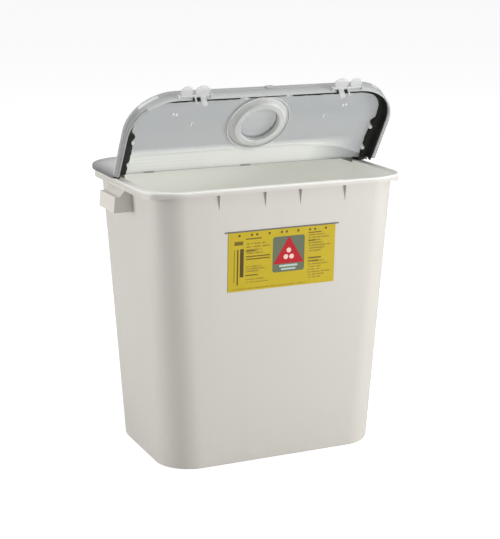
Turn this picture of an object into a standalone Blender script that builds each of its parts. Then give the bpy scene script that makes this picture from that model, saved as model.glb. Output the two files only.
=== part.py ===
"""Nine-gallon sharps container: tapered tub with moulded side handles and a two-part clear lid.

Metres, +Z up, front towards -Y, origin at the bottom centre. The rear half of the lid is fixed on the
rim; the front half is a flap on a pinned hinge across the middle, shown leaning open. The flap and
what rides on it are modelled shut, about the hinge axis, and their empty turns them open.
"""

import math

import bmesh
import bpy
from mathutils import Vector

# Tub
TUB_HEIGHT = 0.450
BASE_HALF = (0.18635, 0.12425)
BASE_CORNER = 0.0588
TAPER = 0.0480
CORNER_TAPER = 0.0228
BASE_EDGE = 0.004
WALL = 0.003
FLOOR = 0.0035
LIP_SHELF = 0.0025
LIP_WALL = 0.0022
LIP_OUT_FRONT = 0.0054
LIP_OUT_SIDE = 0.0110
LIP_DROP_FRONT = 0.008
LIP_DROP_SIDE = 0.012
LIP_BEVEL = 0.0008
LIP_TURN = (25.0, 60.0)
CORNER_STEPS = 12

# Gussets, label ridge, handles
GUSSET_PLACES = (-0.1065, -0.0298, 0.0298, 0.1065)
GUSSET_HALF = 0.006
GUSSET_CREST = 0.001
GUSSET_TALL = 0.033
GUSSET_OUT = 0.0048
LABEL_HALF = 0.0912
LABEL_BOTTOM = 0.2868
LABEL_TOP = 0.3803
LABEL_THICK = 0.0004
RIDGE_OVERHANG = 0.0058
RIDGE_TALL = 0.0018
RIDGE_OUT = 0.0010
HANDLE_HALF = 0.035
HANDLE_WALL = 0.0025
HANDLE_FOOT = 0.404
HANDLE_LEDGE = 0.4285
HANDLE_ROOT = 0.438
HANDLE_X_ROOT = 0.2186
HANDLE_X_PLATE = 0.2265
HANDLE_X_LEDGE = 0.2343
HANDLE_X_FOOT = 0.2366

# Lid
LID_HALF = (0.22515, 0.1613)
LID_CORNER = 0.0714
LID_PLANE = 0.4584
LID_SKIN = 0.0022
LID_ROUND = 0.0015
REAR_SKIRT = 0.0070
REAR_DOME = 0.0046
DOME_SHAPE = ((0.020, 0.55), (0.045, 0.90), (0.068, 1.0))
DOME_FRONT = 0.7
PLUG_IN = 0.0022
PLUG_WALL = 0.0018
PLUG_FOOT = 0.4470
HINGE_Y = 0.0014
HINGE_GAP = 0.0005
OPEN_ANGLE = math.radians(56.8)
FLAP_LENGTH = LID_HALF[1] + HINGE_Y
FLAP_SKIRT = 0.022
SKIRT_END = (0.0028, 0.012)

# Hinge
HINGE_PLACES = (-0.165, 0.0, 0.165)
KNUCKLE_R = 0.0022
KNUCKLE_RELIEF = 0.0029
BORE_R = 0.0014
PIN_R = 0.0011
REAR_KNUCKLE_HALF = 0.0085
FLAP_KNUCKLE = (0.0090, 0.0240)
KNUCKLE_CLEAR = 0.0004

# Gaskets
GASKET_WIDTH = 0.0102
GASKET_INSET = 0.0042
GASKET_PADS = (
    (0.0040, 0.2062), (0.0190, 0.2052), (0.0206, 0.2086), (0.0278, 0.2086), (0.0294, 0.2050), (0.0450, 0.2044),
    (0.0640, 0.2052), (0.0658, 0.2086), (0.0732, 0.2086), (0.0748, 0.2052), (0.0800, 0.2040), (0.0842, 0.2060),
    (0.0868, 0.2100),
)
GASKET_THICK = 0.0054
GAP = 0.0003

# Port
PORT_L = 0.0912
PORT_HOLE_R = 0.0492
COLLAR_BODY_R = 0.0489
COLLAR_FLANGE_R = 0.0535
COLLAR_BEAD = 0.0018
COLLAR_NECK_R = 0.041
COLLAR_BORE_R = 0.0318
COLLAR_DEEP = 0.0105
COLLAR_TOP = 0.0008
CAP_R = 0.0345
CAP_THICK = 0.0021
CAP_PLUG = (0.0290, 0.0311)
CAP_PLUG_DEEP = 0.0046
STRAP_HALF = 0.0105
CAP_PIVOT_L = 0.028
CAP_PIVOT_T = -0.0032
PIVOT_BARREL_R = 0.0022
TRUNNION_R = 0.0012
TRUNNION_HOLE_R = 0.0016
TRUNNION_LONG = 0.0024
LUG_WIDE = 0.003
ROUND_STEPS = 48
SMALL_STEPS = 16

# Latches, as distances along the flap (l), away from its plane (t) and outward from its skirt (p)
LATCH_PIVOT_P = 0.004
LATCH_PIVOT_T = 0.019
LATCH_BAR = (0.104, 0.153)
LATCH_LOBES = ((0.104, 0.1298), (0.1322, 0.153))
LOBE_REACH = 0.0162
LOBE_WAIST = 0.62
LATCH_BAR_R = 0.0017
LOBE_ANGLE = math.radians(102.7)
LATCH_PLATE = 0.0022
STEM_SPAN = (0.112, 0.121)
PRONG_SPAN = (0.1275, 0.1302)
STEM_REACH = 0.0161
PRONG_REACH = 0.0140
STEM_ANGLE = math.radians(-25.8)
BARB_LONG = 0.0047
NOTCH_SPAN = (0.1095, 0.1325)
NOTCH_T = 0.0160

# Hooks that hold the flap's gasket
HOOK_LONG = 0.0052
HOOK_THICK = 0.0026
HOOK_TALL = 0.0057
HOOK_REACH = (0.2036, 0.2080)
SIDE_HOOKS = (0.0242, 0.0695)
FRONT_HOOKS = (-0.0359, 0.0359)

# Pad
PAD_CLEAR = 0.006
PAD_THICK = 0.006
PAD_CORNER = 0.045

CONTAINER_WHITE = (0.80, 0.78, 0.74)
CLEAR_GREY = (0.62, 0.66, 0.69)
CLEAR_WHITE = (0.80, 0.81, 0.80)
FOAM_BLACK = (0.018, 0.019, 0.017)
LABEL_YELLOW = (0.66, 0.52, 0.035)
PAD_WHITE = (0.72, 0.74, 0.72)


def clear_scene():
    for old in list(bpy.data.objects):
        bpy.data.objects.remove(old, do_unlink=True)


def make_material(name, colour, roughness):
    made = bpy.data.materials.new(name)
    made.use_nodes = True
    shader = made.node_tree.nodes["Principled BSDF"]
    shader.inputs["Base Color"].default_value = (*colour, 1.0)
    shader.inputs["Roughness"].default_value = roughness
    shader.inputs["Metallic"].default_value = 0.0
    made.diffuse_color = (*colour, 1.0)
    return made


def add_object(name, bm, material=None, parent=None):
    """Put a bmesh into the scene under its name, with its faces made to point outwards."""
    bmesh.ops.recalc_face_normals(bm, faces=bm.faces)
    mesh = bpy.data.meshes.new(name)
    bm.to_mesh(mesh)
    bm.free()
    mesh.shade_smooth()
    mesh.set_sharp_from_angle(angle=math.radians(30.0))
    made = bpy.data.objects.new(name, mesh)
    bpy.context.scene.collection.objects.link(made)
    if material:
        mesh.materials.append(material)
    if parent:
        made.parent = parent
    return made


def boolean(target, tool, operation):
    """Cut or join with a helper object, which is then only a guide."""
    step = target.modifiers.new(tool.name, 'BOOLEAN')
    step.object = tool
    step.operation = operation
    step.solver = 'EXACT'
    tool.hide_render = True
    tool.display_type = 'WIRE'


def skin_rings(rings, closed=False):
    """Skin a chain of equal rings; an open chain gets both end caps."""
    bm = bmesh.new()
    made = [[bm.verts.new(point) for point in ring] for ring in rings]
    count = len(made[0])
    pairs = list(zip(made, made[1:]))
    if closed:
        pairs.append((made[-1], made[0]))
    for low, high in pairs:
        for i in range(count):
            j = (i + 1) % count
            bm.faces.new((low[i], low[j], high[j], high[i]))
    if not closed:
        bm.faces.new(made[0])
        bm.faces.new(made[-1])
    return bm


def hull_of(groups):
    """One bmesh of separate convex bodies, each the hull of its points."""
    bm = bmesh.new()
    for points in groups:
        verts = [bm.verts.new(point) for point in points]
        found = bmesh.ops.convex_hull(bm, input=verts)
        loose = [item for item in found["geom_interior"] if isinstance(item, bmesh.types.BMVert)]
        bmesh.ops.delete(bm, geom=loose, context='VERTS')
    return bm


def box_points(low, high):
    return [(x, y, z) for x in (low[0], high[0]) for y in (low[1], high[1]) for z in (low[2], high[2])]


def slab(profile, axis, low, high):
    """A flat outline pushed along one axis; the outline gives the other two coordinates in order."""
    rings = []
    for level in (low, high):
        ring = []
        for first, second in profile:
            point = [first, second]
            point.insert(axis, level)
            ring.append(Vector(point))
        rings.append(ring)
    return skin_rings(rings)


def rod(radius, low, high, centre_y, centre_z, steps=SMALL_STEPS):
    """A round bar along X."""
    rings = []
    for x in (low, high):
        ring = []
        for i in range(steps):
            turn = 2.0 * math.pi * (i + 0.5) / steps
            ring.append(Vector((x, centre_y + radius * math.cos(turn), centre_z + radius * math.sin(turn))))
        rings.append(ring)
    return skin_rings(rings)


def turned(profile, centre_y):
    """A closed outline of (radius, z) points turned about a vertical line at x = 0."""
    rings = []
    for i in range(ROUND_STEPS):
        turn = 2.0 * math.pi * i / ROUND_STEPS
        out = Vector((math.cos(turn), math.sin(turn), 0.0))
        rings.append([out * radius + Vector((0.0, centre_y, z)) for radius, z in profile])
    return skin_rings(rings, closed=True)


def merge(target, extra):
    """Move the faces of one bmesh into another, as separate bodies."""
    mesh = bpy.data.meshes.new("extra")
    extra.to_mesh(mesh)
    extra.free()
    target.from_mesh(mesh)
    bpy.data.meshes.remove(mesh)
    return target


# Tub -------------------------------------------------------------------------------------------------

def wall_x(z):
    return BASE_HALF[0] + TAPER * z


def wall_y(z):
    return BASE_HALF[1] + TAPER * z


def tub_path(z):
    """Points and outward directions round the tub's outer wall at one height."""
    radius = BASE_CORNER - CORNER_TAPER * z
    centre_x = wall_x(z) - radius
    centre_y = wall_y(z) - radius
    path = []
    for quarter, (sx, sy) in enumerate(((1, 1), (-1, 1), (-1, -1), (1, -1))):
        for i in range(CORNER_STEPS + 1):
            turn = math.pi / 2.0 * (quarter + i / CORNER_STEPS)
            out = Vector((math.cos(turn), math.sin(turn), 0.0))
            path.append((Vector((sx * centre_x, sy * centre_y, z)) + out * radius, out))
    return path


def side_share(out):
    """How far a place round the rim belongs to the deep side flange: 0 in front, 1 at the sides."""
    turn = math.degrees(math.atan2(abs(out.x), abs(out.y)))
    share = min(1.0, max(0.0, (turn - LIP_TURN[0]) / (LIP_TURN[1] - LIP_TURN[0])))
    return share * share * (3.0 - 2.0 * share)


def tub_ring(z, out_by):
    return [point + out * out_by for point, out in tub_path(z)]


def lip_ring(inset, drop):
    """A ring on the rim's lip: inset from its outer face, drop as a share of its depth or in metres."""
    ring = []
    for point, out in tub_path(TUB_HEIGHT):
        share = side_share(out)
        reach = LIP_OUT_FRONT + (LIP_OUT_SIDE - LIP_OUT_FRONT) * share
        depth = LIP_DROP_FRONT + (LIP_DROP_SIDE - LIP_DROP_FRONT) * share
        down = depth if drop is None else drop
        ring.append(point + out * (reach - inset) - Vector((0.0, 0.0, down)))
    return ring


def tub_shell():
    shelf = TUB_HEIGHT - LIP_SHELF
    return skin_rings([
        tub_ring(0.0, -BASE_EDGE),
        tub_ring(BASE_EDGE * 0.3, -BASE_EDGE * 0.3),
        tub_ring(BASE_EDGE, 0.0),
        tub_ring(shelf, 0.0),
        lip_ring(LIP_WALL, LIP_SHELF),
        lip_ring(LIP_WALL, None),
        lip_ring(0.0, None),
        lip_ring(0.0, LIP_BEVEL),
        lip_ring(LIP_BEVEL, 0.0),
        tub_ring(TUB_HEIGHT, -WALL),
        tub_ring(FLOOR + BASE_EDGE, -WALL),
        tub_ring(FLOOR, -WALL - BASE_EDGE),
    ])


def gusset_points(x, side):
    """A small buttress under the lip, a crest that runs down to nothing on the wall."""
    top = TUB_HEIGHT - LIP_SHELF / 2.0
    foot = top - GUSSET_TALL
    root = side * (wall_y(top) - WALL / 2.0)
    toe = side * (wall_y(foot) - WALL / 2.0)
    crest = side * (wall_y(top) + GUSSET_OUT)
    heel = side * wall_y(foot)
    return [
        (x - GUSSET_HALF, root, top), (x + GUSSET_HALF, root, top),
        (x - GUSSET_CREST, crest, top), (x + GUSSET_CREST, crest, top),
        (x - GUSSET_CREST, toe, foot), (x + GUSSET_CREST, toe, foot),
        (x, heel, foot),
    ]


def ridge_points():
    half = LABEL_HALF + RIDGE_OVERHANG
    low = LABEL_TOP + GAP
    high = low + RIDGE_TALL
    return [
        (sx * half, -(wall_y(z) + out), z)
        for sx in (-1, 1) for z, out in ((low, RIDGE_OUT), (high, RIDGE_OUT), (low, -WALL / 2), (high, -WALL / 2))
    ]


def handle_profile(side):
    inside = WALL / 2.0
    top = TUB_HEIGHT - LIP_SHELF * 0.8
    points = [
        (wall_x(HANDLE_FOOT) - inside, HANDLE_FOOT),
        (HANDLE_X_FOOT, HANDLE_FOOT),
        (HANDLE_X_LEDGE, HANDLE_LEDGE),
        (HANDLE_X_PLATE, HANDLE_LEDGE),
        (HANDLE_X_ROOT, HANDLE_ROOT),
        (HANDLE_X_ROOT, top),
        (wall_x(top) - inside, top),
    ]
    return [(side * x, z) for x, z in points]


def pocket_profile(side):
    """The finger space behind the grip, open downwards."""
    foot = HANDLE_FOOT - 0.004
    ledge = HANDLE_LEDGE - HANDLE_WALL
    top = TUB_HEIGHT - LIP_SHELF - HANDLE_WALL
    points = [
        (wall_x(foot) + GAP * 2, foot),
        (HANDLE_X_FOOT - HANDLE_WALL, foot),
        (HANDLE_X_LEDGE - HANDLE_WALL, ledge),
        (HANDLE_X_PLATE - HANDLE_WALL * 0.6, ledge),
        (HANDLE_X_ROOT - HANDLE_WALL * 0.9, HANDLE_ROOT - HANDLE_WALL * 0.6),
        (HANDLE_X_ROOT - HANDLE_WALL * 0.9, top),
        (wall_x(top) + GAP * 2, top),
    ]
    return [(side * x, z) for x, z in points]


def handle_solid(side):
    """The grip's outer block: a flared plate under the flange, a ledge and an outer face."""
    profile = handle_profile(side)
    rings = [[Vector((x, y, z)) for x, z in profile] for y in (-HANDLE_HALF, HANDLE_HALF)]
    return skin_rings(rings)


def build_tub(material):
    tub = add_object("container_body", tub_shell(), material)
    ribs = [gusset_points(x, side) for x in GUSSET_PLACES for side in (-1, 1)]
    boolean(tub, add_object("rib_guide", hull_of(ribs + [ridge_points()])), 'UNION')
    for side, word in ((-1, "left"), (1, "right")):
        boolean(tub, add_object(word + "_grip_guide", handle_solid(side)), 'UNION')
        profile = pocket_profile(side)
        reach = HANDLE_HALF - HANDLE_WALL
        rings = [[Vector((x, y, z)) for x, z in profile] for y in (-reach, reach)]
        boolean(tub, add_object(word + "_finger_cut", skin_rings(rings)), 'DIFFERENCE')
    return tub


def build_label(material):
    points = []
    for sx in (-1, 1):
        for z in (LABEL_BOTTOM, LABEL_TOP):
            for out in (GAP, GAP + LABEL_THICK):
                points.append((sx * LABEL_HALF, -(wall_y(z) + out), z))
    return add_object("front_label", hull_of([points]), material)


def build_pad(material):
    """The absorbent pad on the floor, clear of the rounded bottom edge."""
    rings = []
    for z in (FLOOR + GAP, FLOOR + GAP + PAD_THICK):
        half_x = BASE_HALF[0] - WALL - BASE_EDGE - PAD_CLEAR
        half_y = BASE_HALF[1] - WALL - BASE_EDGE - PAD_CLEAR
        ring = []
        for quarter, (sx, sy) in enumerate(((1, 1), (-1, 1), (-1, -1), (1, -1))):
            for i in range(CORNER_STEPS // 2 + 1):
                turn = math.pi / 2.0 * (quarter + i / (CORNER_STEPS // 2))
                x = sx * (half_x - PAD_CORNER) + PAD_CORNER * math.cos(turn)
                y = sy * (half_y - PAD_CORNER) + PAD_CORNER * math.sin(turn)
                ring.append(Vector((x, y, z)))
        rings.append(ring)
    return add_object("absorbent_pad", skin_rings(rings), material)


# Lid -------------------------------------------------------------------------------------------------

def half_ring(inset, edge, z, side):
    """Half of the lid's outline, inset round its three outer sides, its straight edge kept where it is.

    The outline is in the hinge's frame: y runs from the hinge, side is +1 for the rear half, -1 in front.
    """
    half_x = LID_HALF[0] - inset
    far = (LID_HALF[1] - side * HINGE_Y) - inset
    radius = LID_CORNER - inset
    ring = [Vector((half_x, edge, z))]
    for sx, start in ((1, 0.0), (-1, math.pi / 2.0)):
        for i in range(CORNER_STEPS + 1):
            turn = start + math.pi / 2.0 * i / CORNER_STEPS
            x = sx * (half_x - radius) + radius * math.cos(turn)
            y = (far - radius) + radius * math.sin(turn)
            ring.append(Vector((x, side * y, z)))
    ring.append(Vector((-half_x, edge, z)))
    return ring


def knuckles(spans):
    bm = bmesh.new()
    for low, high in spans:
        merge(bm, rod(KNUCKLE_R, low, high, 0.0, 0.0))
    return bm


def rear_spans():
    return [(x - REAR_KNUCKLE_HALF, x + REAR_KNUCKLE_HALF) for x in HINGE_PLACES]


def flap_spans():
    near, far = FLAP_KNUCKLE
    spans = []
    for x in HINGE_PLACES:
        spans += [(x - far, x - near), (x + near, x + far)]
    return spans


def relief(spans):
    """Room for the other leaf's knuckles, cut out of a leaf's straight edge."""
    deep = KNUCKLE_RELIEF
    return hull_of([
        box_points((low - KNUCKLE_CLEAR, -deep, -2 * deep), (high + KNUCKLE_CLEAR, deep, 2 * deep))
        for low, high in spans
    ])


def hinge_rods(radius, past):
    """Bars on the hinge line, each running a little past the rear leaf's knuckle at both ends."""
    bm = bmesh.new()
    reach = FLAP_KNUCKLE[0] + past
    for x in HINGE_PLACES:
        merge(bm, rod(radius, x - reach, x + reach, 0.0, 0.0))
    return bm


def dome_edge(inset):
    """Where the rear lid's raised middle starts behind its straight front edge."""
    return HINGE_GAP + max(0.0, inset - LID_ROUND) * DOME_FRONT


def build_rear_lid(material, hinge):
    foot = -REAR_SKIRT
    outer = [(0.0, foot), (0.0, -LID_ROUND), (LID_ROUND * 0.3, -LID_ROUND * 0.3), (LID_ROUND, 0.0)]
    outer += [(inset, REAR_DOME * share) for inset, share in DOME_SHAPE]
    inner = [(LID_SKIN, foot - 0.002), (LID_SKIN, -LID_SKIN - LID_ROUND), (LID_SKIN + LID_ROUND, -LID_SKIN)]
    rings = [half_ring(inset, dome_edge(inset), z, 1) for inset, z in outer]
    lid = add_object("rear_lid", skin_rings(rings), material, hinge)
    rings = [half_ring(inset, -0.004, z, 1) for inset, z in inner]
    rings += [half_ring(inset + 0.001, dome_edge(inset) + 0.001, REAR_DOME * share - LID_SKIN, 1)
              for inset, share in DOME_SHAPE]
    boolean(lid, add_object("rear_hollow", skin_rings(rings), None, hinge), 'DIFFERENCE')
    boolean(lid, add_object("rear_plug_guide", plug_wall(), None, hinge), 'UNION')
    boolean(lid, add_object("rear_relief", relief(flap_spans()), None, hinge), 'DIFFERENCE')
    boolean(lid, add_object("rear_knuckles", knuckles(rear_spans()), None, hinge), 'UNION')
    boolean(lid, add_object("rear_bores", hinge_rods(BORE_R, 0.0005), None, hinge), 'DIFFERENCE')
    return lid


def plug_wall():
    """The rib under the rear lid that locates it inside the tub's mouth, as a U of constant wall."""
    outline = []
    for inset in (0.0, PLUG_WALL):
        stretch = []
        for point, out in tub_path(TUB_HEIGHT):
            if point.y > HINGE_Y + 0.010:
                place = point - out * (WALL + PLUG_IN + inset)
                stretch.append(place - Vector((0.0, HINGE_Y, 0.0)))
        first = Vector((stretch[0].x, 0.012, 0.0))
        last = Vector((stretch[-1].x, 0.012, 0.0))
        outline.append([first] + stretch + [last])
    loop = outline[0] + outline[1][::-1]
    low = PLUG_FOOT - LID_PLANE
    high = REAR_DOME * DOME_SHAPE[0][1] - LID_SKIN / 2
    rings = [[Vector((p.x, p.y, z)) for p in loop] for z in (low, high)]
    return skin_rings(rings)


def skirt_end_cut():
    """The slant that ends the flap's side skirts at the hinge."""
    near, far = SKIRT_END
    deep = FLAP_SKIRT + 0.002
    slope = (far + 0.0013) / (FLAP_SKIRT - near)
    profile = [(0.002, -near), (-slope * (deep - near), -deep), (0.002, -deep)]
    rings = [[Vector((x, y, z)) for y, z in profile] for x in (-0.24, 0.24)]
    return skin_rings(rings)


def hook_groups():
    """Small moulded hooks at the gasket's inner edge."""
    inner = GASKET_INSET + GASKET_WIDTH + GAP * 2
    low = -(LID_SKIN + HOOK_TALL)
    groups = []
    for sx in (-1, 1):
        for along in SIDE_HOOKS:
            corners = sorted(sx * x for x in HOOK_REACH)
            groups.append(box_points((corners[0], -along - HOOK_LONG / 2, low),
                                     (corners[1], -along + HOOK_LONG / 2, -LID_SKIN / 2)))
    for x in FRONT_HOOKS:
        y = -(FLAP_LENGTH - inner)
        groups.append(box_points((x - HOOK_LONG / 2, y, low), (x + HOOK_LONG / 2, y + HOOK_THICK, -LID_SKIN / 2)))
    return groups


def latch_lug_spans():
    low, high = LATCH_BAR
    spans = [(low - LUG_WIDE - GAP, low - GAP), (high + GAP, high + LUG_WIDE + GAP)]
    return spans + [(-b, -a) for a, b in spans]


def latch_lugs():
    groups = []
    for low, high in latch_lug_spans():
        groups.append(box_points(
            (low, -(FLAP_LENGTH + LATCH_PIVOT_P + 0.0024), -(LATCH_PIVOT_T + 0.0024)),
            (high, -(FLAP_LENGTH - LID_SKIN / 2), -(LATCH_PIVOT_T - 0.0026))))
    return groups


def port_lugs():
    groups = []
    for low in (STRAP_HALF + GAP, -STRAP_HALF - GAP - LUG_WIDE):
        groups.append(box_points((low, -CAP_PIVOT_L - 0.003, -LID_SKIN / 2),
                                 (low + LUG_WIDE, -CAP_PIVOT_L + 0.003, -CAP_PIVOT_T + 0.0026)))
    return groups


def build_flap(material, hinge):
    edge = -HINGE_GAP
    outer = [(0.0, -FLAP_SKIRT), (0.0, -LID_ROUND), (LID_ROUND * 0.3, -LID_ROUND * 0.3), (LID_ROUND, 0.0)]
    inner = [(LID_SKIN, -FLAP_SKIRT - 0.002), (LID_SKIN, -LID_SKIN - LID_ROUND), (LID_SKIN + LID_ROUND, -LID_SKIN)]
    flap = add_object("front_flap", skin_rings([half_ring(d, edge, z, -1) for d, z in outer]), material, hinge)
    hollow = skin_rings([half_ring(d, edge + 0.004, z, -1) for d, z in inner])
    boolean(flap, add_object("flap_hollow", hollow, None, hinge), 'DIFFERENCE')
    boolean(flap, add_object("skirt_end_cut", skirt_end_cut(), None, hinge), 'DIFFERENCE')
    notches = [box_points((a, -FLAP_LENGTH - 0.002, -FLAP_SKIRT - 0.002),
                          (b, -FLAP_LENGTH + LID_SKIN + 0.002, -NOTCH_T))
               for a, b in (NOTCH_SPAN, (-NOTCH_SPAN[1], -NOTCH_SPAN[0]))]
    boolean(flap, add_object("stem_notches", hull_of(notches), None, hinge), 'DIFFERENCE')
    extras = hull_of(hook_groups() + latch_lugs() + port_lugs())
    boolean(flap, add_object("flap_extras", extras, None, hinge), 'UNION')
    boolean(flap, add_object("flap_relief", relief(rear_spans()), None, hinge), 'DIFFERENCE')
    boolean(flap, add_object("flap_knuckles", knuckles(flap_spans()), None, hinge), 'UNION')
    boolean(flap, add_object("flap_pins", hinge_rods(PIN_R, 0.0012), None, hinge), 'UNION')
    holes = bmesh.new()
    reach = STRAP_HALF + LUG_WIDE + 0.004
    merge(holes, rod(TRUNNION_HOLE_R, -reach, reach, -CAP_PIVOT_L, -CAP_PIVOT_T))
    low, high = LATCH_BAR
    for sx in (-1, 1):
        span = sorted((sx * (low - LUG_WIDE - 0.002), sx * (high + LUG_WIDE + 0.002)))
        merge(holes, rod(TRUNNION_HOLE_R, span[0], span[1], -(FLAP_LENGTH + LATCH_PIVOT_P), -LATCH_PIVOT_T))
    boolean(flap, add_object("flap_bores", holes, None, hinge), 'DIFFERENCE')
    opening = slab([(PORT_HOLE_R * math.cos(2 * math.pi * i / ROUND_STEPS),
                     PORT_HOLE_R * math.sin(2 * math.pi * i / ROUND_STEPS) - PORT_L)
                    for i in range(ROUND_STEPS)], 2, -0.006, 0.004)
    boolean(flap, add_object("port_hole", opening, None, hinge), 'DIFFERENCE')
    return flap


def gasket(name, side, material, hinge, pads=()):
    """A flat foam strip round three sides of a lid half; pads give its inner edge near the hinge."""
    start = 0.004 * side
    high = -LID_SKIN - GAP
    low = high - GASKET_THICK
    outer = half_ring(GASKET_INSET, start, 0.0, side)
    inner = half_ring(GASKET_INSET + GASKET_WIDTH, start, 0.0, side)
    if pads:
        right = [Vector((x, side * along, 0.0)) for along, x in pads]
        left = [Vector((-x, side * along, 0.0)) for along, x in reversed(pads)]
        inner = right + inner[1:-1] + left
    loop = outer + inner[::-1]
    rings = [[Vector((p.x, p.y, z)) for p in loop] for z in (low, high)]
    return add_object(name, skin_rings(rings), material, hinge)


# Port ------------------------------------------------------------------------------------------------

def build_collar(material, hinge):
    under = -(LID_SKIN + GAP)
    bead = COLLAR_FLANGE_R - COLLAR_BEAD
    profile = [
        (COLLAR_BODY_R, COLLAR_TOP), (COLLAR_BODY_R, under), (COLLAR_FLANGE_R, under),
        (COLLAR_FLANGE_R, under - 0.0022), (COLLAR_FLANGE_R - 0.0004, under - 0.0026),
        (bead, under - 0.0026), (bead - 0.0006, under - 0.0012),
        (COLLAR_NECK_R + 0.0018, -COLLAR_DEEP + 0.0014), (COLLAR_NECK_R, -COLLAR_DEEP),
        (COLLAR_BORE_R + 0.0015, -COLLAR_DEEP), (COLLAR_BORE_R, -COLLAR_DEEP + 0.0012),
        (COLLAR_BORE_R, COLLAR_TOP),
    ]
    return add_object("port_collar", turned(profile, -PORT_L), material, hinge)


def build_cap(material, pivot):
    """The clear port cap, in its pivot's frame: the pivot is at the strap's end."""
    centre_y = -(PORT_L - CAP_PIVOT_L)
    low = COLLAR_TOP + GAP + CAP_PIVOT_T
    high = low + CAP_THICK
    disc = []
    for radius, z in ((CAP_R, low), (CAP_R, high - 0.0005), (CAP_R - 0.0008, high)):
        disc.append([Vector((radius * math.cos(2 * math.pi * i / ROUND_STEPS),
                             centre_y + radius * math.sin(2 * math.pi * i / ROUND_STEPS), z))
                     for i in range(ROUND_STEPS)])
    cap = add_object("port_cap", skin_rings(disc), material, pivot)
    ring_in, ring_out = CAP_PLUG
    foot = low - CAP_PLUG_DEEP
    plug = turned([(ring_in, foot), (ring_out, foot), (ring_out, low + 0.001), (ring_in, low + 0.001)], centre_y)
    boolean(cap, add_object("cap_plug", plug, None, pivot), 'UNION')
    strap = hull_of([box_points((-STRAP_HALF, centre_y + CAP_R * 0.8, low + 0.0002),
                                (STRAP_HALF, -PIVOT_BARREL_R * 0.5, high - 0.0002))])
    boolean(cap, add_object("cap_strap", strap, None, pivot), 'UNION')
    barrel = rod(PIVOT_BARREL_R, -STRAP_HALF, STRAP_HALF, 0.0, 0.0)
    boolean(cap, add_object("cap_barrel", barrel, None, pivot), 'UNION')
    reach = STRAP_HALF + TRUNNION_LONG
    axle = rod(TRUNNION_R, -reach, reach, 0.0, 0.0, 12)
    boolean(cap, add_object("cap_axle", axle, None, pivot), 'UNION')
    return cap


# Latches ---------------------------------------------------------------------------------------------

def lever_point(angle, reach, across):
    """A point in a latch's own frame: reach along an angle from straight away, across its thickness."""
    out_t = reach * math.cos(angle) - across * math.sin(angle)
    out_p = reach * math.sin(angle) + across * math.cos(angle)
    return (-out_p, -out_t)


def lobe(low, high, sx):
    """One finger lobe: a rounded tab standing out from the bar."""
    half = (high - low) / 2.0
    middle = sx * (low + high) / 2.0
    outline = [(-half * LOBE_WAIST, 0.0), (-half * 0.93, LOBE_REACH * 0.30)]
    steps = 8
    for i in range(1, steps):
        turn = math.pi * (1.0 - i / steps)
        outline.append((half * math.cos(turn), LOBE_REACH * (0.45 + 0.55 * math.sin(turn))))
    outline += [(half * 0.93, LOBE_REACH * 0.30), (half * LOBE_WAIST, 0.0)]
    rings = []
    for across in (-LATCH_PLATE / 2, LATCH_PLATE / 2):
        rings.append([Vector((middle + x, *lever_point(LOBE_ANGLE, reach, across))) for x, reach in outline])
    return skin_rings(rings)


def arm(span, sx, reach, barb):
    """A flat arm with a barb turned in at its end."""
    low, high = sorted((sx * span[0], sx * span[1]))
    half = LATCH_PLATE / 2
    neck = reach - LATCH_PLATE
    outline = [(0.0, -half), (neck, -half), (neck, -half - barb), (reach, -half - barb), (reach, half), (0.0, half)]
    rings = []
    for x in (low, high):
        rings.append([Vector((x, *lever_point(STEM_ANGLE, along, across))) for along, across in outline])
    return skin_rings(rings)


def build_latch(name, sx, material, pivot):
    low, high = sorted((sx * LATCH_BAR[0], sx * LATCH_BAR[1]))
    latch = add_object(name, rod(LATCH_BAR_R, low, high, 0.0, 0.0), material, pivot)
    for number, (start, end) in enumerate(LATCH_LOBES):
        guide = add_object(name + "_lobe_%d" % number, lobe(start, end, sx), None, pivot)
        boolean(latch, guide, 'UNION')
    pieces = (("stem", STEM_SPAN, STEM_REACH, BARB_LONG), ("prong", PRONG_SPAN, PRONG_REACH, 0.0015))
    for word, span, reach, barb in pieces:
        boolean(latch, add_object(name + "_" + word, arm(span, sx, reach, barb), None, pivot), 'UNION')
    axle = rod(TRUNNION_R, low - TRUNNION_LONG, high + TRUNNION_LONG, 0.0, 0.0, 12)
    boolean(latch, add_object(name + "_axle", axle, None, pivot), 'UNION')
    return latch


def add_empty(name, location, parent=None):
    empty = bpy.data.objects.new(name, None)
    bpy.context.scene.collection.objects.link(empty)
    empty.location = location
    if parent:
        empty.parent = parent
    return empty


def main():
    clear_scene()
    white = make_material("container_white", CONTAINER_WHITE, 0.42)
    grey = make_material("clear_grey", CLEAR_GREY, 0.15)
    milky = make_material("clear_white", CLEAR_WHITE, 0.3)
    foam = make_material("foam_black", FOAM_BLACK, 0.85)
    yellow = make_material("label_yellow", LABEL_YELLOW, 0.5)
    fibre = make_material("pad_white", PAD_WHITE, 0.95)

    build_tub(white)
    build_label(yellow)
    build_pad(fibre)

    fixed = add_empty("hinge_line", (0.0, HINGE_Y, LID_PLANE))
    build_rear_lid(grey, fixed)
    gasket("rear_gasket", 1, foam, fixed)

    flap_axis = add_empty("flap_axis", (0.0, HINGE_Y, LID_PLANE))
    flap_axis.rotation_euler = (-OPEN_ANGLE, 0.0, 0.0)
    build_flap(grey, flap_axis)
    gasket("flap_gasket", -1, foam, flap_axis, GASKET_PADS)
    build_collar(milky, flap_axis)
    cap_axis = add_empty("cap_axis", (0.0, -CAP_PIVOT_L, -CAP_PIVOT_T), flap_axis)
    build_cap(grey, cap_axis)
    for word, sx in (("left", -1), ("right", 1)):
        place = (0.0, -(FLAP_LENGTH + LATCH_PIVOT_P), -LATCH_PIVOT_T)
        latch_axis = add_empty("latch_axis_" + word, place, flap_axis)
        build_latch("latch_" + word, sx, milky, latch_axis)


main()
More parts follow.
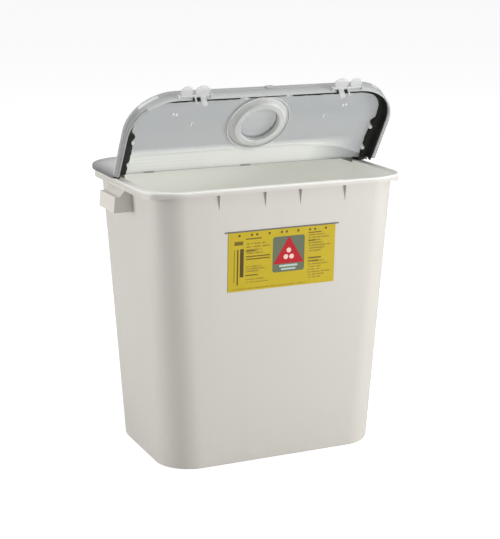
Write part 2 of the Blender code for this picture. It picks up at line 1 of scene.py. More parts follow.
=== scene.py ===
"""Looks for a large sharps container: a white tapered tub with a yellow front label, a clear fixed rear
lid and a clear front flap with its foam seal, round port and two latches.

Laid out as an add-on, and run as a script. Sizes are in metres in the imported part's frame: +Z up, the
labelled front towards -Y. What belongs to the flap is placed by its own measures, where it leans open:
along it from the hinge, across it from its middle, and under it from its top face.
"""

import math

import bpy
from mathutils import Matrix, Vector


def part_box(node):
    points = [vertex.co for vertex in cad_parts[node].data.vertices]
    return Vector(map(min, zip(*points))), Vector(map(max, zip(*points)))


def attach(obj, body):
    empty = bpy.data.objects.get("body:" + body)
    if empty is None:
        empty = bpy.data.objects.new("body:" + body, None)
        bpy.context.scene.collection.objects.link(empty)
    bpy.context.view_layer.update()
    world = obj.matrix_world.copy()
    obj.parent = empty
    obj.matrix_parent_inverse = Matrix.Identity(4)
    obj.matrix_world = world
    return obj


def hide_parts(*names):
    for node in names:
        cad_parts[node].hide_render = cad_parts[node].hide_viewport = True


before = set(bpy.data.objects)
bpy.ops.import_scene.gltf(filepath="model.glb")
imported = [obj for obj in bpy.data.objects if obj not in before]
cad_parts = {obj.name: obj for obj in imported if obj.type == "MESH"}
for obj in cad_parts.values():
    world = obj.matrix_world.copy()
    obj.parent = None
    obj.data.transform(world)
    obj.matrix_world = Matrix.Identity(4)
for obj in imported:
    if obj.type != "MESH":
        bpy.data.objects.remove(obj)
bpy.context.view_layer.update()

bl_info = {
    "name": "Sharps Container Looks",
    "version": (1, 0, 0),
    "blender": (4, 5, 0),
    "location": "3D View > Sidebar > Container",
    "description": "Builds the visible pieces, finishes and studio of a nine-gallon sharps container",
    "category": "Object",
}

# The flap's hinge, how far it leans open, and its directions along it and under it
HINGE = Vector((0.0, 0.0014, 0.4584))
LEAN = math.radians(56.8)
ALONG_FLAP = Vector((0.0, -math.cos(LEAN), math.sin(LEAN)))
UNDER_FLAP = Vector((0.0, -math.sin(LEAN), -math.cos(LEAN)))

# The lid, and its port: how far along the flap it is, and the radii where its inner ring ends and its
# bead begins
FLAP_LENGTH = 0.1627
FLAP_SKIRT = 0.022
LID_HALF_WIDE = 0.22515
LID_SKIN = 0.0022
LID_CORNER = 0.0714
PORT_ALONG = 0.0912
RING_REACH = 0.0450
BEAD_REACH = 0.0508

# The tub: its half width and half depth at the base, how fast they grow with height, and its corner's
# radius at the base with how fast that grows
TUB_BASE = (0.18635, 0.12425)
TUB_TAPER = 0.048
TUB_CORNER = (0.0588, -0.0228)
TUB_WALL = 0.003
TUB_RIM = 0.4494
GRIP_HALF = 0.0352
GRIP_HEIGHTS = (0.4, 0.4415)
GUSSET_HALF = 0.1200
GUSSET_HEIGHTS = (0.409, 0.4408)
RIDGE_HALF = 0.0972
RIDGE_TALL = 0.0022
LABEL_LOW, LABEL_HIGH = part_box("front_label")

# The flap's seal: its outer and inner distance from the lid's edge, the radius of its inner corners, its
# top and foot under the flap, the distances of its leg's two faces, with a closer inner one at the
# corners, and the middle of a corner as (across, along)
SEAL_EDGE = (0.0042, 0.0144)
SEAL_CORNER = 0.045
SEAL_TOP = 0.0026
SEAL_FOOT = 0.0079
SEAL_LEG = (0.0024, 0.0054)
SEAL_LEG_CORNER = 0.0029
SEAL_MIDDLE = (0.150, 0.090)

# The seal's inner edge beside the hinge, as (along, across), wide between the hooks and narrow at them
SEAL_PADS = (
    (0.0040, 0.2062), (0.0190, 0.2052), (0.0206, 0.2086), (0.0278, 0.2086), (0.0294, 0.2050),
    (0.0450, 0.2044), (0.0640, 0.2052), (0.0658, 0.2086), (0.0732, 0.2086), (0.0748, 0.2052),
    (0.0800, 0.2040), (0.0842, 0.2060), (0.0868, 0.21075), (0.2, 0.21075),
)

# The seal's width along the flap's front, as (past this far across, wide): narrow at the two hooks
SEAL_FRONT = ((0.0440, 0.0187), (0.0310, 0.0146), (0.0, 0.0176))

# How many stations the seal has along a side, round a corner and along half the front
SIDE_STEPS = 61
CORNER_STEPS = 16
FRONT_STEPS = 72

# Moulded dots and ticks under the panel, as (across, along, half wide, half long), the same on both sides
MARKS = (
    (0.1430, 0.1165, 0.0017, 0.0024), (0.1482, 0.1180, 0.0017, 0.0024), (0.1140, 0.0965, 0.0009, 0.0036),
)
MARK_THICK = 0.0012

# The latches' smoothed mesh: its grain, and how often it is smoothed
LATCH_VOXEL = 0.00045
LATCH_SMOOTHING = 5

# Studio: how strongly the room lights the piece, how far the floor is lifted where it shows, the lamps as
# (name, place, share of the key's power, size), and how the camera is turned and aimed
ROOM_LIGHT = 0.29
FLOOR_LIFT = 0.72
LAMP_AIM = Vector((0.0, 0.0, 0.3))
LAMPS = (
    ("key_lamp", (2.20, -2.04, 0.42), 1.28, 1.3),
    ("side_lamp", (-2.86, 0.80, 0.42), 0.84, 1.2),
    ("top_lamp", (0.0, -0.6, 3.2), 0.66, 2.6),
)
CAMERA_TURN = math.radians(-24.2047)
CAMERA_RISE = math.radians(13.6805)
CAMERA_AIM = Vector((0.0, 0.0, 0.225))
CAMERA_ASIDE = 0.0080
CAMERA_ABOVE = 0.0571

# Plain tones. The lip, rim and grip ones are painted light, the ridge and gusset ones painted shade
BLACK = (0.0, 0.0, 0.0)
WHITE = (1.0, 1.0, 1.0)
FLOW_MARK = (0.52, 0.49, 0.44)
SCUFF_MARK = (0.42, 0.39, 0.34)
RIDGE_SHADE = (0.07, 0.06, 0.045)
LIP_PAINTED_HIGHLIGHT = (0.82, 0.82, 0.78)
RIM_PAINTED_HIGHLIGHT = (0.85, 0.85, 0.80)
GUSSET_SHADE = (0.42, 0.39, 0.33)
GRIP_PAINTED_LIGHT = (0.66, 0.635, 0.575)
GRIP_PAINTED_GLOW = (0.78, 0.75, 0.67)
STUD_TONE = (0.88, 0.89, 0.88)
FIBRE_TONES = ((0.62, 0.64, 0.62), (0.80, 0.81, 0.79))
FAINT_INK = (0.24, 0.17, 0.020)
DARK_INK = (0.040, 0.022, 0.008)
DISC_TONE = (0.80, 0.56, 0.50)
STRIP_TONE = (0.45, 0.55, 0.50)

# The label's print. Places are shares of its width from the left and of its height from the top.
# Rows of broken bars: left, right, top, bottom, how many rows, and how much of a row's height is inked
PRINT_ROWS = (
    (0.165, 0.40, 0.19, 0.40, 4, 0.50), (0.165, 0.36, 0.58, 0.70, 3, 0.55),
    (0.745, 0.955, 0.14, 0.46, 7, 0.50), (0.745, 0.955, 0.60, 0.92, 7, 0.45),
    (0.165, 0.39, 0.80, 0.90, 2, 0.35), (0.030, 0.97, 0.955, 0.985, 1, 0.55),
)
# Solid bars: left, right, top, bottom, and how dark
PRINT_BARS = (
    (0.160, 0.305, 0.110, 0.130, 0.80), (0.160, 0.250, 0.315, 0.335, 0.80),
    (0.160, 0.385, 0.410, 0.430, 0.80), (0.165, 0.385, 0.455, 0.475, 0.80),
    (0.160, 0.275, 0.730, 0.750, 0.80), (0.745, 0.870, 0.100, 0.118, 0.80),
    (0.745, 0.810, 0.235, 0.255, 0.80), (0.745, 0.870, 0.535, 0.560, 0.80),
    (0.745, 0.850, 0.590, 0.608, 0.80), (0.108, 0.142, 0.280, 0.760, 0.92),
    (0.080, 0.093, 0.285, 0.890, 0.85), (0.052, 0.060, 0.290, 0.840, 0.60),
    (0.055, 0.135, 0.150, 0.215, 0.75),
)
# Small discs along the top: their middles, their height and their radius
PRINT_DOTS = (0.10, 0.215, 0.262, 0.378, 0.492, 0.538, 0.647, 0.757, 0.806, 0.909)
DOT_DOWN = 0.055
DOT_RADIUS = 0.021
# The rounded panel, measured in label heights from its middle, with its triangle, discs and strips
PANEL_SPAN = 1.95
PANEL_MIDDLE = (0.560, 0.435)
PANEL_HALF = (0.292, 0.305)
PANEL_ROUND = 0.045
TRIANGLE_MIDDLE = 0.562
TRIANGLE_DOWN = (0.150, 0.600)
TRIANGLE_SLOPE = 0.60
TRIANGLE_TIP = 0.012
PANEL_DISCS = ((0.562, 0.375), (0.535, 0.485), (0.589, 0.485))
PANEL_DISC_RADIUS = 0.042
PANEL_STRIPS = ((0.475, 0.645, 0.620, 0.655), (0.492, 0.628, 0.680, 0.708))


# Shader wiring ---------------------------------------------------------------------------------------

class Wire:
    """An output socket that takes part in sums and comparisons, each of which adds a Math node."""

    def __init__(self, wiring, socket):
        self.wiring = wiring
        self.socket = socket

    def maths(self, operation, *values):
        return self.wiring.node('ShaderNodeMath', {"operation": operation}, dict(enumerate(values)))

    def __add__(self, other):
        return self.maths('ADD', self, other)

    __radd__ = __add__

    def __sub__(self, other):
        return self.maths('SUBTRACT', self, other)

    def __rsub__(self, other):
        return self.maths('SUBTRACT', other, self)

    def __mul__(self, other):
        return self.maths('MULTIPLY', self, other)

    __rmul__ = __mul__

    def __truediv__(self, other):
        return self.maths('DIVIDE', self, other)

    def __rtruediv__(self, other):
        return self.maths('DIVIDE', other, self)

    def __pow__(self, other):
        return self.maths('POWER', self, other)

    def __rpow__(self, other):
        return self.maths('POWER', other, self)

    def __gt__(self, other):
        return self.maths('GREATER_THAN', self, other)

    def __lt__(self, other):
        return self.maths('LESS_THAN', self, other)

    def __abs__(self):
        return self.maths('ABSOLUTE', self)

    def fraction(self):
        return self.maths('FRACT', self)

    def largest(self, other):
        return self.maths('MAXIMUM', self, other)

    def smallest(self, other):
        return self.maths('MINIMUM', self, other)

    def clamped(self):
        return self.largest(0.0).smallest(1.0)

    def between(self, low, high):
        """1 between two values, 0 elsewhere."""
        return (self > low) * (self < high)

    def rising(self, start, over):
        """0 up to a start, and 1 from some way past it."""
        return ((self - start) / over).clamped()

    def falling(self, end, over):
        """1 until some way before an end, and 0 from there."""
        return ((end - self) / over).clamped()

    def spread(self, low, high):
        """A 0 to 1 value stretched to a range."""
        return self * (high - low) + low


class Wiring:
    """A node tree, wired from Python."""

    def __init__(self, tree):
        self.tree = tree

    def feed(self, socket, value):
        if isinstance(value, Wire):
            self.tree.links.new(value.socket, socket)
        elif isinstance(value, tuple) and len(value) == 3 and len(socket.default_value) == 4:
            socket.default_value = (*value, 1.0)
        else:
            socket.default_value = value

    def node(self, kind, settings, sockets, output=0):
        """Add a node: its own settings first, then values or wires for its sockets."""
        made = self.tree.nodes.new(kind)
        for key, value in settings.items():
            setattr(made, key, value)
        for key, value in sockets.items():
            self.feed(made.inputs[key], value)
        return Wire(self, made.outputs[output])

    def camera_sees(self):
        return self.node('ShaderNodeLightPath', {}, {}, "Is Camera Ray")


class Finish(Wiring):
    """A material on its own node tree."""

    SOCKETS = {
        "colour": "Base Color", "roughness": "Roughness", "alpha": "Alpha", "specular": "Specular IOR Level",
        "glow": "Emission Color", "glow_strength": "Emission Strength", "normal": "Normal",
    }

    def __init__(self, name, roughness, specular=0.5):
        self.material = bpy.data.materials.new(name)
        self.material.use_nodes = True
        super().__init__(self.material.node_tree)
        self.set(roughness=roughness, specular=specular)

    def set(self, **values):
        """Set or wire the shader's own sockets."""
        shader = self.tree.nodes["Principled BSDF"]
        for key, value in values.items():
            self.feed(shader.inputs[self.SOCKETS[key]], value)

    def coordinates(self):
        return self.node('ShaderNodeTexCoord', {}, {}, "Object")

    def place(self, stretch=(1.0, 1.0, 1.0)):
        """The object's own coordinates, stretched."""
        return self.node('ShaderNodeMapping', {}, {"Vector": self.coordinates(), "Scale": stretch})

    def axes(self):
        split = self.node('ShaderNodeSeparateXYZ', {}, {0: self.coordinates()})
        return [Wire(self, output) for output in split.socket.node.outputs]

    def flap_place(self):
        """A point's place along the open flap from its hinge, across from its middle, and under it."""
        x, y, z = self.axes()
        along = (y - HINGE.y) * ALONG_FLAP.y + (z - HINGE.z) * ALONG_FLAP.z
        under = (y - HINGE.y) * UNDER_FLAP.y + (z - HINGE.z) * UNDER_FLAP.z
        return along, x, under

    def noise(self, scale, detail=3.0, roughness=0.5, stretch=(1.0, 1.0, 1.0)):
        sockets = {"Vector": self.place(stretch), "Scale": scale, "Detail": detail, "Roughness": roughness}
        return self.node('ShaderNodeTexNoise', {}, sockets)

    def cells(self, scale):
        """Distance from the middle of the nearest small cell."""
        return self.node('ShaderNodeTexVoronoi', {}, {"Vector": self.place(), "Scale": scale})

    def moulding(self, scale=30.0, stretch=0.12):
        """Flow lines that run across a clear moulding, and the fine speckle of its face."""
        return self.noise(scale, 3.0, 0.55, (stretch, 1.0, 1.0)), self.noise(420.0, 2.0, 0.6)

    def mix(self, factor, low, high):
        """Blend two colours. Inputs 6 and 7 and output 2 are the node's colour ones."""
        return self.node('ShaderNodeMix', {"data_type": 'RGBA'}, {0: factor, 6: low, 7: high}, 2)

    def bump(self, height, distance, strength):
        sockets = {"Height": height, "Distance": distance, "Strength": strength}
        self.set(normal=self.node('ShaderNodeBump', {}, sockets))


def shade(colour, share=1.0):
    """A plain colour, darkened or lightened to a share of itself."""
    return tuple(part * share for part in colour)


# Mesh helpers ----------------------------------------------------------------------------------------

def clear_selection():
    bpy.ops.object.select_all(action='DESELECT')


def make_active(piece):
    clear_selection()
    piece.select_set(True)
    bpy.context.view_layer.objects.active = piece


def in_edit_mode(piece, action):
    """Run an edit-mode action on one piece with everything in it selected."""
    make_active(piece)
    bpy.ops.object.mode_set(mode='EDIT')
    bpy.ops.mesh.select_all(action='SELECT')
    action()
    bpy.ops.object.mode_set(mode='OBJECT')


def apply_modifier(piece, kind, **settings):
    make_active(piece)
    step = piece.modifiers.new(kind, kind)
    for key, value in settings.items():
        setattr(step, key, value)
    bpy.ops.object.modifier_apply(modifier=step.name)


def scale_and_bevel(piece, name, size, bevel, segments):
    """Bring a primitive to its size with its place in its mesh, and round all its edges."""
    make_active(piece)
    piece.name = name
    piece.scale = size
    bpy.ops.object.transform_apply(location=True, rotation=True, scale=True)
    in_edit_mode(piece, lambda: bpy.ops.mesh.bevel(offset=bevel, segments=segments, affect='EDGES'))


def new_piece(name, mesh):
    piece = bpy.data.objects.new(name, mesh)
    bpy.context.scene.collection.objects.link(piece)
    return piece


def merged_copy(node, name):
    """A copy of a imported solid, its loose triangles merged, which stands for it."""
    piece = new_piece(name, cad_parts[node].data.copy())

    def merge():
        bpy.ops.mesh.customdata_custom_splitnormals_clear()
        bpy.ops.mesh.remove_doubles(threshold=0.00001)
        bpy.ops.mesh.dissolve_limited(angle_limit=math.radians(0.4))

    in_edit_mode(piece, merge)
    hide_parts(node)
    return piece


def settle(piece, body, finish, angle=30.0):
    """Shade a finished piece, give it its finish and let it ride on its body."""
    make_active(piece)
    bpy.ops.object.shade_smooth_by_angle(angle=math.radians(angle))
    piece.data.materials.clear()
    piece.data.materials.append(finish.material)
    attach(piece, body)
    clear_selection()


# The flap's seal -------------------------------------------------------------------------------------

def flap_outline(inset, radius, edge_x=None, front_edge=None):
    """Matching stations round the flap's three sides, as (across, along), from the right to the left."""
    half = LID_HALF_WIDE - inset
    far = front_edge(half) if front_edge else FLAP_LENGTH - inset
    start = SEAL_PADS[0][0]
    right = []
    for i in range(SIDE_STEPS):
        along = start + (far - radius - start) * i / SIDE_STEPS
        right.append((edge_x(along) if edge_x else half, along))
    for i in range(CORNER_STEPS + 1):
        turn = math.pi / 2.0 * i / CORNER_STEPS
        right.append((half - radius + radius * math.cos(turn), far - radius + radius * math.sin(turn)))
    for i in range(1, FRONT_STEPS + 1):
        across = (half - radius) * (1.0 - i / FRONT_STEPS)
        right.append((across, front_edge(across) if front_edge else far))
    return right + [(-across, along) for across, along in reversed(right[:-1])]


def pad_edge(along):
    """The seal's inner edge beside the hinge, straight from one listed place to the next."""
    for (low, first), (high, last) in zip(SEAL_PADS, SEAL_PADS[1:]):
        if along <= high:
            return first + (last - first) * (along - low) / (high - low)
    return SEAL_PADS[-1][1]


def front_pad_edge(across):
    """The seal's inner edge along the flap's front."""
    for start, wide in SEAL_FRONT:
        if across > start:
            break
    return FLAP_LENGTH - wide


def share_past(value, over):
    """How much of a stretch a value has covered, from 0 to 1."""
    return min(1.0, max(0.0, value / over))


def seal_section(i, inner, loops, leg_deep):
    """One closed section of the seal, as (place on the flap, how far under it), a little uneven by hand."""
    across, along = inner
    base, skirt_side, leg_side, leg_thin = (Vector((*loop, 0.0)) for loop in loops)
    wander = 0.00028 * math.sin(i * 0.9) + 0.00022 * math.sin(i * 0.37 + 1.0)
    if abs(across) < SEAL_FRONT[1][0] and along > 0.1:
        wander *= 0.3
    swell = 0.00015 * math.sin(i * 0.51 + 2.0) + 0.0001 * math.sin(i * 1.3)
    lip = Vector((across, along, 0.0))
    middle_x, middle_along = SEAL_MIDDLE
    out = lip - Vector((math.copysign(min(abs(across), middle_x), across), min(along, middle_along), 0.0))
    out = out.normalized() if out.length > 0.001 else Vector((0.0, 1.0, 0.0))
    lip = lip + out * wander
    share = share_past(0.1500 - along, 0.040)
    eased = share * share * (3.0 - 2.0 * share)
    deep = SEAL_FOOT + 0.0002 + (leg_deep - SEAL_FOOT) * eased + swell * 0.5
    leg_side = leg_side.lerp(leg_thin, share_past(along - 0.065, 0.025))
    return (
        (base, SEAL_TOP), (lip, SEAL_TOP), (lip, SEAL_FOOT - 0.0014 + swell),
        (lip + out * 0.0012, SEAL_FOOT + swell), (leg_side - out * 0.0008, SEAL_FOOT + swell * 0.5),
        (leg_side, SEAL_FOOT + 0.0001 + (deep - SEAL_FOOT) * 0.15), (leg_side, deep - 0.0001),
        (skirt_side, deep), (skirt_side, SEAL_TOP + 0.0020))


def foam_round_flap(leg_deep):
    """Black foam laid round the flap inside its skirt, and up the skirt at its sides."""
    inner = flap_outline(SEAL_EDGE[1], SEAL_CORNER, pad_edge, front_pad_edge)
    insets = (SEAL_EDGE[0], *SEAL_LEG, SEAL_LEG_CORNER)
    loops = zip(*(flap_outline(inset, LID_CORNER - inset) for inset in insets))
    rings = [
        [HINGE + Vector((place.x, 0.0, 0.0)) + ALONG_FLAP * place.y + UNDER_FLAP * under
         for place, under in seal_section(i, *station, leg_deep)]
        for i, station in enumerate(zip(inner, loops))]
    wide = len(rings[0])
    corners = len(rings) * wide
    faces = [(i + j, i + (j + 1) % wide, i + wide + (j + 1) % wide, i + wide + j)
             for i in range(0, corners - wide, wide) for j in range(wide)]
    faces += [tuple(range(wide)), tuple(range(corners - wide, corners))]
    mesh = bpy.data.meshes.new("flap_seal")
    mesh.from_pydata([point for ring in rings for point in ring], [], faces)
    seal = new_piece("flap_seal", mesh)
    in_edit_mode(seal, lambda: bpy.ops.mesh.normals_make_consistent(inside=False))
    return seal


# Finishes --------------------------------------------------------------------------------------------

def moulded_white(look):
    """Opaque satin polypropylene: flow marks down the walls, scuffs at the foot, and painted light and
    shade.
    """
    finish = Finish("moulded_white", look.roughness, 0.35)
    x, y, z = finish.axes()
    cloud = finish.noise(5.0, 2.0)
    streak = finish.noise(34.0, 3.0, 0.6, (1.0, 1.0, 0.06))
    scuff = finish.noise(70.0, 6.0, 0.75, (1.0, 1.0, 0.35))
    ripple = finish.noise(22.0, 1.0, 0.4, (1.0, 1.0, 0.12))
    grain = finish.noise(1500.0, 2.0, 0.5)

    round_by = z * TUB_CORNER[1] + TUB_CORNER[0]
    past_x = (abs(x) - (z * TUB_TAPER + TUB_BASE[0] - round_by)).largest(0.0)
    past_y = (abs(y) - (z * TUB_TAPER + TUB_BASE[1] - round_by)).largest(0.0)
    outside = (past_x ** 2.0 + past_y ** 2.0) ** 0.5 - round_by
    # Painted light: the inside is painted a lighter colour and given a painted glow
    inside = (outside < 0.0006 - TUB_WALL) * z.between(TUB_WALL, TUB_RIM)
    # Painted light: the grips are painted lighter and given a faint painted glow
    grip = (outside > 0.0006) * (abs(y) < GRIP_HALF) * z.between(*GRIP_HEIGHTS)
    # Painted shade beside the gussets under the front rim
    gusset = (outside > 0.0005) * (abs(x) < GUSSET_HALF) * (y < 0.0) * z.between(*GUSSET_HEIGHTS)
    # A painted shadow line along the ridge above the label
    ridge = z.between(LABEL_HIGH.z, LABEL_HIGH.z + RIDGE_TALL) * (abs(x) < RIDGE_HALF) * (y < 0.0)
    # A painted highlight on the lip
    lip = z.rising(0.4455, 0.004)
    # A painted highlight glow along the rim's top, on its left part
    rim_highlight = (z > 0.4492) * (x < 0.10)

    tone = finish.mix(cloud.spread(0.15, 0.85), shade(look.colour), shade(look.colour, 0.955))
    for share, colour in (
            ((streak - 0.5).clamped() * 0.5, FLOW_MARK),
            (z.falling(0.09, 0.09) * (scuff - 0.42).clamped() * 0.45, SCUFF_MARK),
            (ridge * 0.85, RIDGE_SHADE), (lip * 0.9, LIP_PAINTED_HIGHLIGHT), (gusset * 0.55, GUSSET_SHADE),
            (inside, shade(look.inside_painted_light)), (grip * 0.5, GRIP_PAINTED_LIGHT)):
        tone = finish.mix(share, tone, colour)
    glow = finish.mix(inside, BLACK, shade(look.inside_painted_light))
    glow = finish.mix(grip * 0.22, glow, GRIP_PAINTED_GLOW)
    glow = finish.mix(rim_highlight * 0.55, glow, RIM_PAINTED_HIGHLIGHT)
    finish.set(colour=tone, roughness=scuff.spread(look.roughness - 0.09, look.roughness + 0.12),
               glow=glow, glow_strength=look.glow)
    finish.bump(grain * 0.12 + ripple, 0.0005, 0.35)
    return finish


def clear_plastic(name, colour, alpha, shine, glow=0.0):
    """Clear or milky moulded plastic: thin body colour, gloss, faint flow lines, and a painted glow for
    light caught in it.
    """
    finish = Finish(name, shine)
    flow, speck = finish.moulding()
    thin = ((flow - 0.35) * 1.8).spread(alpha - 0.05, alpha + 0.05).clamped()
    finish.set(colour=finish.mix(flow, shade(colour), shade(colour, 0.90)), alpha=thin,
               roughness=speck.spread(shine * 0.6, shine * 1.7), glow=WHITE, glow_strength=glow)
    finish.bump(flow + speck * 0.05, 0.0006, 0.25)
    return finish


def rear_plastic(look):
    """The rear lid's clear plastic: bright on its crown with painted light and a painted glow, deep grey
    down its skirt and on its front edge.
    """
    finish = Finish("clear_rear_lid", 0.1)
    _, y, z = finish.axes()
    flow, speck = finish.moulding()
    rise = z.rising(HINGE.z - 0.0068, 0.0108)
    # Painted light: the crown is painted brighter and given a painted glow
    crown_painted_light = z.rising(HINGE.z - 0.0012, 0.0036)
    front = (y < HINGE.y + 0.0016) * 0.35
    tone = finish.mix(flow, shade(look.rear_colour), shade(look.rear_colour, 0.92))
    tone = finish.mix(crown_painted_light, shade(look.rear_colour, 0.42), tone)
    tone = finish.mix(rise ** 0.75, shade(look.rear_colour, 0.15), tone)
    tone = finish.mix(front, tone, shade(look.rear_colour, 0.30))
    glow = finish.mix(crown_painted_light * (1.0 - front), BLACK, shade(look.rear_colour))
    finish.set(colour=tone, alpha=rise.spread(0.88, 0.66), roughness=speck.spread(0.06, 0.16),
               glow=glow, glow_strength=0.14)
    finish.bump(flow + speck * 0.05, 0.0006, 0.25)
    return finish


def flap_plastic(look):
    """The flap's clear plastic: a fairly clear panel, paler by its hinge with painted light and a painted
    glow, and a denser skirt.
    """
    finish = Finish("clear_flap", 0.1)
    along, across, under = finish.flap_place()
    flow, speck = finish.moulding(26.0, 0.10)

    # Places: painted light by the hinge, ruled with fine lines at the sides, pale hooks, and the skirt's own
    # parts
    straight = along < 0.145
    edge = FLAP_SKIRT - 0.0011
    # Painted light: the panel by the hinge is painted paler and given a painted glow
    milky = along.falling(0.050, 0.016) * across.falling(0.190, 0.080)
    rules = ((along * 140.0 + flow * 0.6).fraction() < 0.16) * (abs(across) > 0.075) * (along < 0.100)
    studs = under.between(LID_SKIN + 0.0004, 0.0088) * (abs(across) < 0.2090) * along.between(0.01, 0.157)
    skirt = under.rising(0.0030, 0.0012)
    deep = (under / FLAP_SKIRT).clamped()
    side = abs(across).rising(0.200, 0.015) * (deep < 0.72)
    lines = ((under > edge) * straight + under.between(0.0002, 0.0011)).clamped() * 0.55
    thin = under.between(edge - 0.0041, edge) * straight * 0.5

    tone = finish.mix(flow, shade(look.colour), shade(look.colour, 0.90))
    tone = finish.mix(milky, tone, shade(look.hinge_painted_light))
    tone = finish.mix(rules * 0.16, tone, shade(look.colour, 0.72))
    tone = finish.mix((along < 0.0016) * 0.45, tone, shade(look.colour, 0.45))
    wall = finish.mix(deep + (flow - 0.5) * 0.5, shade(look.skirt_colour, 0.56), shade(look.skirt_colour))
    wall = finish.mix(side * 0.62, wall, shade(look.skirt_colour, 0.36))
    tone = finish.mix(skirt, tone, wall)
    tone = finish.mix(lines, tone, shade(look.skirt_colour, 0.30))
    tone = finish.mix(studs, tone, STUD_TONE)
    body = flow.spread(look.alpha - 0.04, look.alpha + 0.04)
    # The painted glow by the hinge
    glow = finish.mix(milky * (1.0 - skirt), BLACK, shade(look.hinge_painted_light))
    finish.set(colour=tone, alpha=(body + skirt * 0.24 - thin + lines * 0.3).clamped(),
               roughness=speck.spread(0.06, 0.16), glow=glow, glow_strength=0.15)
    finish.bump(flow + speck * 0.05 - rules * 0.15, 0.0006, 0.25)
    return finish


def collar_plastic(look):
    """Milky plastic, thicker and whiter in the collar's bead and inner ring than in its cone."""
    finish = Finish("milky_collar", 0.2)
    along, across, _ = finish.flap_place()
    flow = finish.noise(60.0, 3.0)
    reach = ((along - PORT_ALONG) ** 2.0 + across ** 2.0) ** 0.5
    bead = reach > BEAD_REACH
    ring = reach.falling(RING_REACH, 0.0030)
    cone = (reach < BEAD_REACH - 0.0005) * (1.0 - ring)
    body = flow.spread(look.alpha - 0.08, look.alpha + 0.02)
    tone = finish.mix(flow, shade(look.colour), shade(look.colour, 0.93))
    tone = finish.mix(cone, tone, shade(look.colour, 0.84))
    finish.set(colour=tone, alpha=(bead * 0.32 + ring * 0.22 + body).clamped(),
               roughness=flow.spread(0.34, 0.52))
    finish.bump(flow, 0.0004, 0.3)
    return finish


def foam(look):
    """Closed-cell black foam, matt, with small pores."""
    finish = Finish("black_foam", 0.9, 0.25)
    pores = finish.cells(900.0)
    finish.set(colour=finish.mix(finish.noise(60.0, 3.0), shade(look.colour), shade(look.colour, 2.2)),
               roughness=pores.spread(0.75, 0.98))
    finish.bump(pores, 0.0004, 0.8)
    return finish


def fibre_pad():
    """White pressed fibre, lightly quilted."""
    finish = Finish("pressed_fibre", 0.95, 0.2)
    fibres = finish.noise(500.0, 5.0, 0.7, (1.0, 0.35, 1.0))
    finish.set(colour=finish.mix(fibres, *FIBRE_TONES))
    finish.bump(finish.cells(45.0) * 0.6 + fibres * 0.3, 0.0012, 0.8)
    return finish


def label_print(look):
    """Yellow film with plain bars for print and a coloured panel. Nothing on it can be read."""
    finish = Finish("label_film", 0.45, 0.25)
    x, _, z = finish.axes()
    wide, tall = LABEL_HIGH.x - LABEL_LOW.x, LABEL_HIGH.z - LABEL_LOW.z
    across = (x - LABEL_LOW.x) / wide
    down = (LABEL_HIGH.z - z) / tall
    film = finish.noise(26.0, 4.0, 0.6)
    words = finish.noise(420.0, 1.0, 0.5, (1.0, 1.0, 0.15)) > 0.40

    def bar(left, right, top, bottom):
        return across.between(left, right) * down.between(top, bottom)

    def broken_bars(left, right, top, bottom, count, fill):
        """Rows of broken bars, their right ends ragged."""
        row = (down - top) / (bottom - top) * count
        whole = row - row.fraction()
        ragged = finish.node('ShaderNodeTexWhiteNoise', {"noise_dimensions": '1D'}, {"W": whole})
        end = right - ragged * (right - left) * 0.45
        return (row.fraction() < fill) * words * bar(left, end, top, bottom)

    def disc(middle_x, middle_down, radius):
        return ((across - middle_x) * (wide / tall)) ** 2.0 + (down - middle_down) ** 2.0 < radius * radius

    past_x = (abs(across - PANEL_MIDDLE[0]) * PANEL_SPAN - PANEL_HALF[0] + PANEL_ROUND).largest(0.0)
    past_down = (abs(down - PANEL_MIDDLE[1]) - PANEL_HALF[1] + PANEL_ROUND).largest(0.0)
    panel = past_x ** 2.0 + past_down ** 2.0 < PANEL_ROUND * PANEL_ROUND
    lean = abs(across - TRIANGLE_MIDDLE) * PANEL_SPAN
    sloped = lean < (down - TRIANGLE_DOWN[0]) * TRIANGLE_SLOPE + TRIANGLE_TIP

    layers = [(broken_bars(*row) * 0.85, FAINT_INK) for row in PRINT_ROWS]
    layers += [(bar(*place) * depth, DARK_INK) for *place, depth in PRINT_BARS]
    layers += [(disc(middle, DOT_DOWN, DOT_RADIUS) * 0.85, DARK_INK) for middle in PRINT_DOTS]
    layers += [(panel, shade(look.panel)), (down.between(*TRIANGLE_DOWN) * sloped, shade(look.triangle))]
    layers += [(disc(*middle, PANEL_DISC_RADIUS), DISC_TONE) for middle in PANEL_DISCS]
    layers += [(bar(*place), STRIP_TONE) for place in PANEL_STRIPS]
    tone = finish.mix(film, shade(look.colour), shade(look.colour, 0.86))
    for share, colour in layers:
        tone = finish.mix(share, tone, colour)
    finish.set(colour=tone, roughness=film.spread(0.38, 0.56))
    finish.bump(finish.noise(60.0, 3.0, 0.5), 0.0003, 0.4)
    return finish


# Settings --------------------------------------------------------------------------------------------

def colour_setting(name, description, default):
    return bpy.props.FloatVectorProperty(
        name=name, description=description, subtype='COLOR', size=3, min=0.0, max=1.0, default=default)


def share_setting(name, description, default, least=0.0):
    return bpy.props.FloatProperty(
        name=name, description=description, subtype='FACTOR', min=least, max=1.0, default=default)


def length_setting(name, description, default, least, most):
    return bpy.props.FloatProperty(
        name=name, description=description, subtype='DISTANCE', unit='LENGTH', min=least, max=most,
        default=default)


